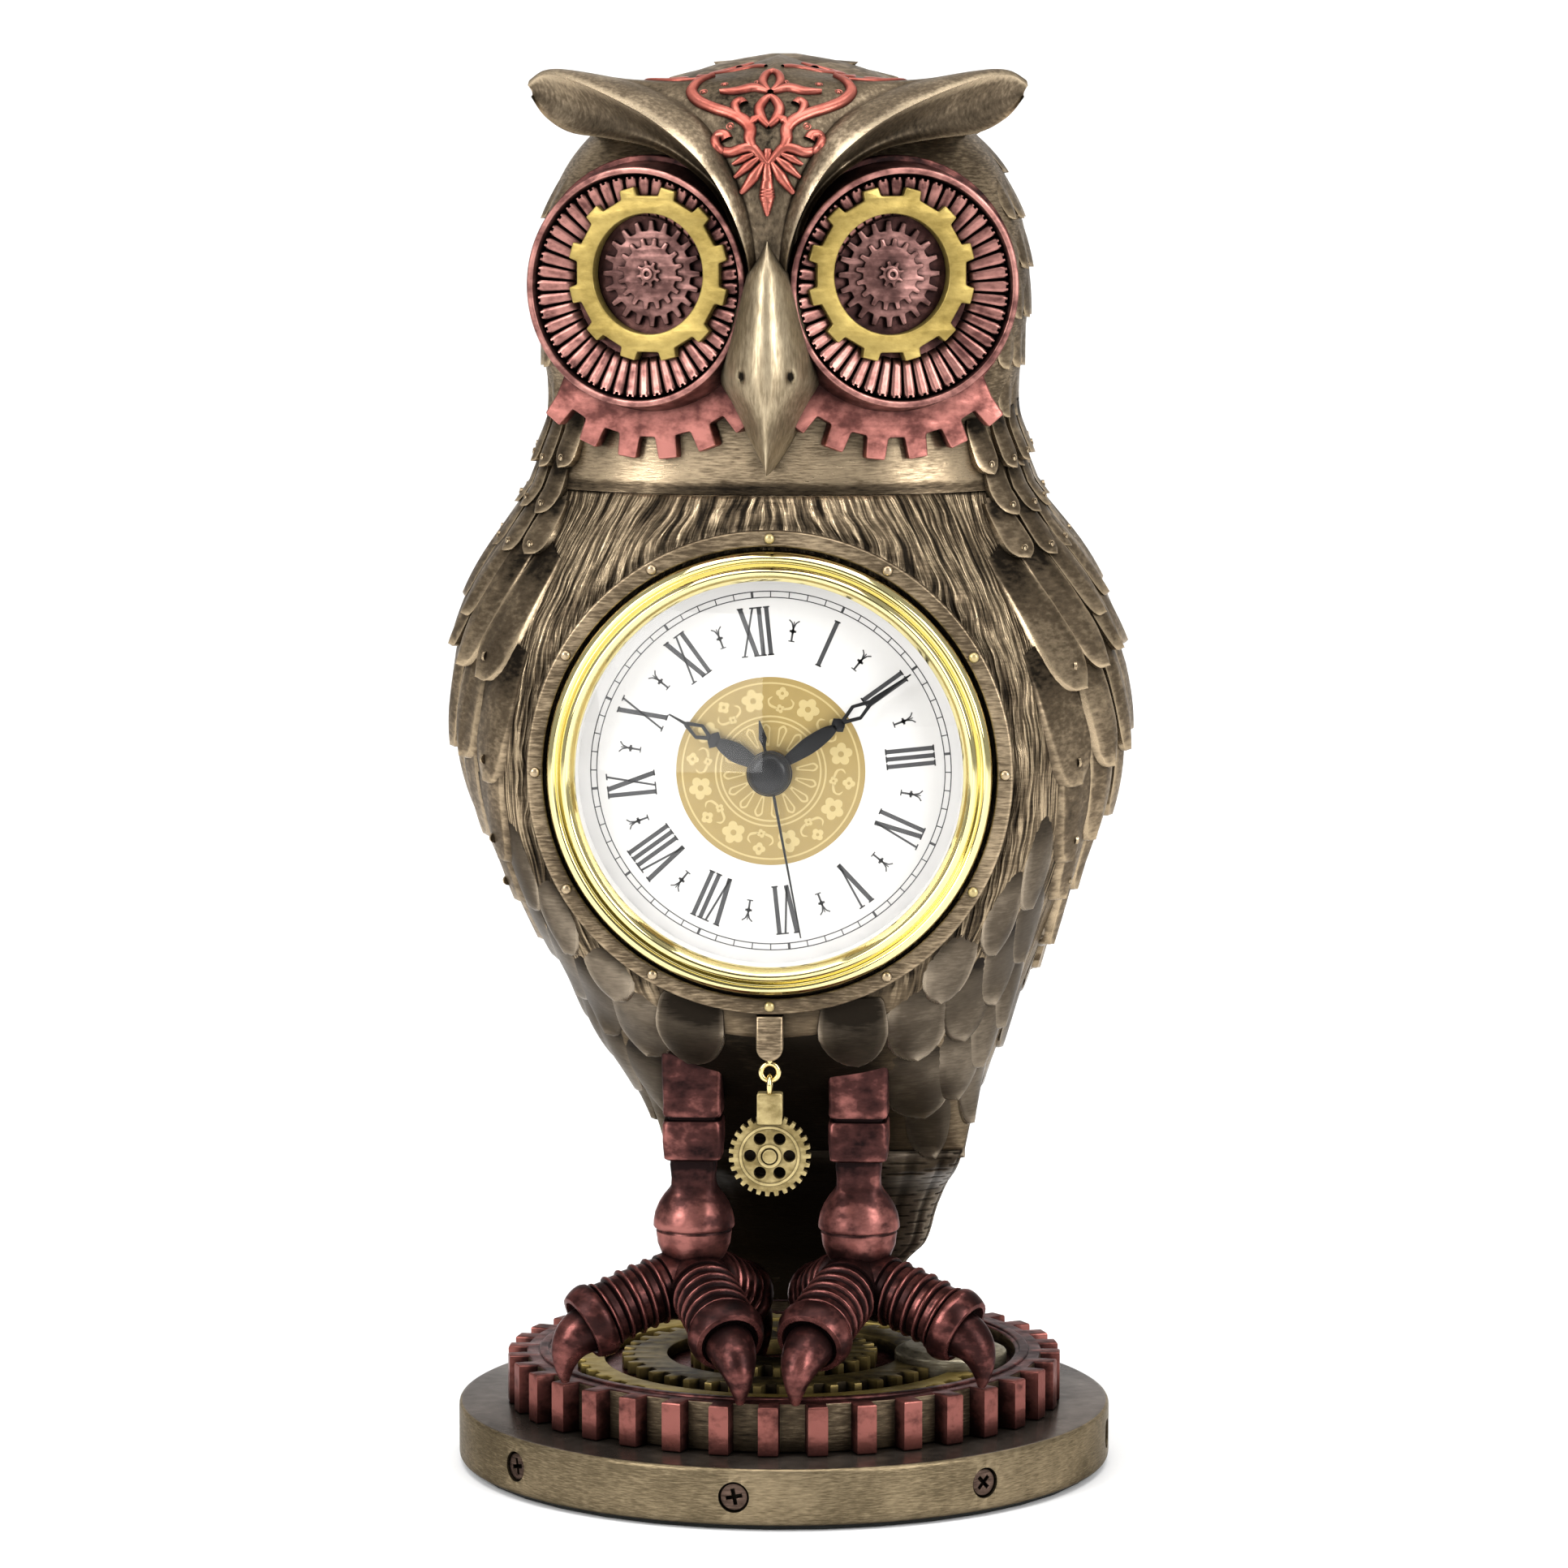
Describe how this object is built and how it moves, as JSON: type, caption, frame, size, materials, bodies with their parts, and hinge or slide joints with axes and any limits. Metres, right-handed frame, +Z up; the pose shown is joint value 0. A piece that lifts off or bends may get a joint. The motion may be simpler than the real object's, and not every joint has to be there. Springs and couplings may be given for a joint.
{
  "type": "table clock",
  "caption": "Owl-shaped table clock in bronze-finished resin on a round gear base, with a pull-out insert clock in the chest and a small swinging gear ornament.",
  "frame": {"origin": "middle of the round base's underside, on the table", "axes": "+Z up, front (dial and beak) towards -Y, +X to the right as seen from the front"},
  "size_m": [0.1281, 0.1224, 0.263],
  "materials": {
    "bronze_resin": "cold-cast resin with a rubbed bronze finish, dark in the recesses",
    "copper_resin": "cold-cast resin with a rubbed copper-red finish",
    "gold_resin": "cold-cast resin with a worn gold finish",
    "felt": "thin black felt",
    "bezel_gold": "polished, gold-plated",
    "lens_glass": "clear, slightly domed",
    "dial_print": "white, with a printed gold centre",
    "hand_black": "black paint, satin",
    "brass_wire": "bright wire",
    "charm_gold": "antique gold plate",
    "dark_plastic": "moulded, fine texture",
    "gasket_rubber": "soft, ribbed",
    "brass_plate": "stamped",
    "white_plastic": "moulded",
    "bright_steel": "bare metal",
    "board": "green laminate",
    "coil_wire": "enamelled copper wire"
  },
  "bodies": {
    "figure": {"base_felt_pad": "felt", "base_disc": "bronze_resin", "rim_screw_1": "bronze_resin", "rim_screw_2": "bronze_resin", "rim_screw_3": "bronze_resin", "rim_screw_4": "bronze_resin", "rim_screw_5": "bronze_resin", "rim_screw_6": "bronze_resin", "rim_screw_7": "bronze_resin", "rim_screw_8": "bronze_resin", "base_gear": "copper_resin", "base_gold_gear": "gold_resin", "left_leg": "copper_resin", "right_leg": "copper_resin", "left_foot": "copper_resin", "right_foot": "copper_resin", "tail": "bronze_resin", "body_shell": "bronze_resin", "left_wing": "bronze_resin", "right_wing": "bronze_resin", "chest_ring": "bronze_resin", "pendulum_bracket": "bronze_resin", "screw_eye": "brass_wire", "head_shell": "bronze_resin", "brow_crest": "bronze_resin", "beak": "bronze_resin", "left_eye_cup": "copper_resin", "left_eye_back_gear": "copper_resin", "left_eye_gold_gear": "gold_resin", "left_eye_copper_gear": "copper_resin", "right_eye_cup": "copper_resin", "right_eye_back_gear": "copper_resin", "right_eye_gold_gear": "gold_resin", "right_eye_copper_gear": "copper_resin"},
    "pendulum": {"pendulum_eye": "brass_wire", "pendulum_bob": "charm_gold"},
    "insert": {"bezel": "bezel_gold", "lens": "lens_glass", "dial": "dial_print", "insert_case": "dark_plastic", "gasket": "gasket_rubber", "movement_front_plate": "brass_plate", "movement_back_plate": "dark_plastic", "circuit_board": "board", "coil": "coil_wire", "stator": "bright_steel", "battery": "bright_steel"},
    "battery_door": {"battery_door": "dark_plastic"},
    "second": {"second_wheel": "white_plastic", "second_hand": "hand_black", "hand_cap": "hand_black"},
    "minute": {"minute_wheel": "brass_plate", "minute_hand": "hand_black"},
    "hour": {"hour_wheel": "brass_plate", "hour_hand": "hand_black"},
    "third": {"third_wheel": "white_plastic"},
    "intermediate": {"intermediate_wheel": "white_plastic"},
    "rotor": {"rotor": "white_plastic"},
    "motion": {"motion_wheel": "white_plastic", "set_knob": "dark_plastic"}
  },
  "joints": [
    {"name": "insert_pull", "type": "slide", "parent": "figure", "child": "insert", "axis": [0, -1, 0], "range_m": [0, 0.04]},
    {"name": "battery_door_slide", "type": "slide", "parent": "insert", "child": "battery_door", "axis": [-1, 0, 0], "range_m": [0, 0.013]},
    {"name": "pendulum_swing", "type": "hinge", "parent": "figure", "child": "pendulum", "pos_m": [0, -0.0455, 0.08035], "axis": [0, 1, 0], "range_deg": [-40, 40]},
    {"name": "second_hand_spin", "type": "hinge", "parent": "insert", "child": "second", "pos_m": [0, -0.0365, 0.1351], "axis": [0, 1, 0], "continuous": true},
    {"name": "minute_hand_spin", "type": "hinge", "parent": "insert", "child": "minute", "pos_m": [0, -0.0365, 0.1351], "axis": [0, 1, 0], "continuous": true},
    {"name": "hour_hand_spin", "type": "hinge", "parent": "insert", "child": "hour", "pos_m": [0, -0.0365, 0.1351], "axis": [0, 1, 0], "continuous": true},
    {"name": "third_wheel_spin", "type": "hinge", "parent": "insert", "child": "third", "pos_m": [0.00795, -0.0365, 0.13051], "axis": [0, 1, 0], "continuous": true},
    {"name": "intermediate_wheel_spin", "type": "hinge", "parent": "insert", "child": "intermediate", "pos_m": [-0.008, -0.0365, 0.13048], "axis": [0, 1, 0], "continuous": true},
    {"name": "rotor_spin", "type": "hinge", "parent": "insert", "child": "rotor", "pos_m": [-0.01486, -0.0365, 0.12652], "axis": [0, 1, 0], "continuous": true},
    {"name": "set_knob_spin", "type": "hinge", "parent": "insert", "child": "motion", "pos_m": [0, -0.0365, 0.1451], "axis": [0, 1, 0], "continuous": true}
  ],
  "couplings": [
    {"joint": "minute_hand_spin", "follows": "second_hand_spin", "ratio": 0.016667},
    {"joint": "hour_hand_spin", "follows": "second_hand_spin", "ratio": 0.0013889},
    {"joint": "third_wheel_spin", "follows": "second_hand_spin", "ratio": -0.13333},
    {"joint": "intermediate_wheel_spin", "follows": "second_hand_spin", "ratio": -6},
    {"joint": "rotor_spin", "follows": "second_hand_spin", "ratio": 30},
    {"joint": "set_knob_spin", "follows": "second_hand_spin", "ratio": -0.0055556}
  ]
}
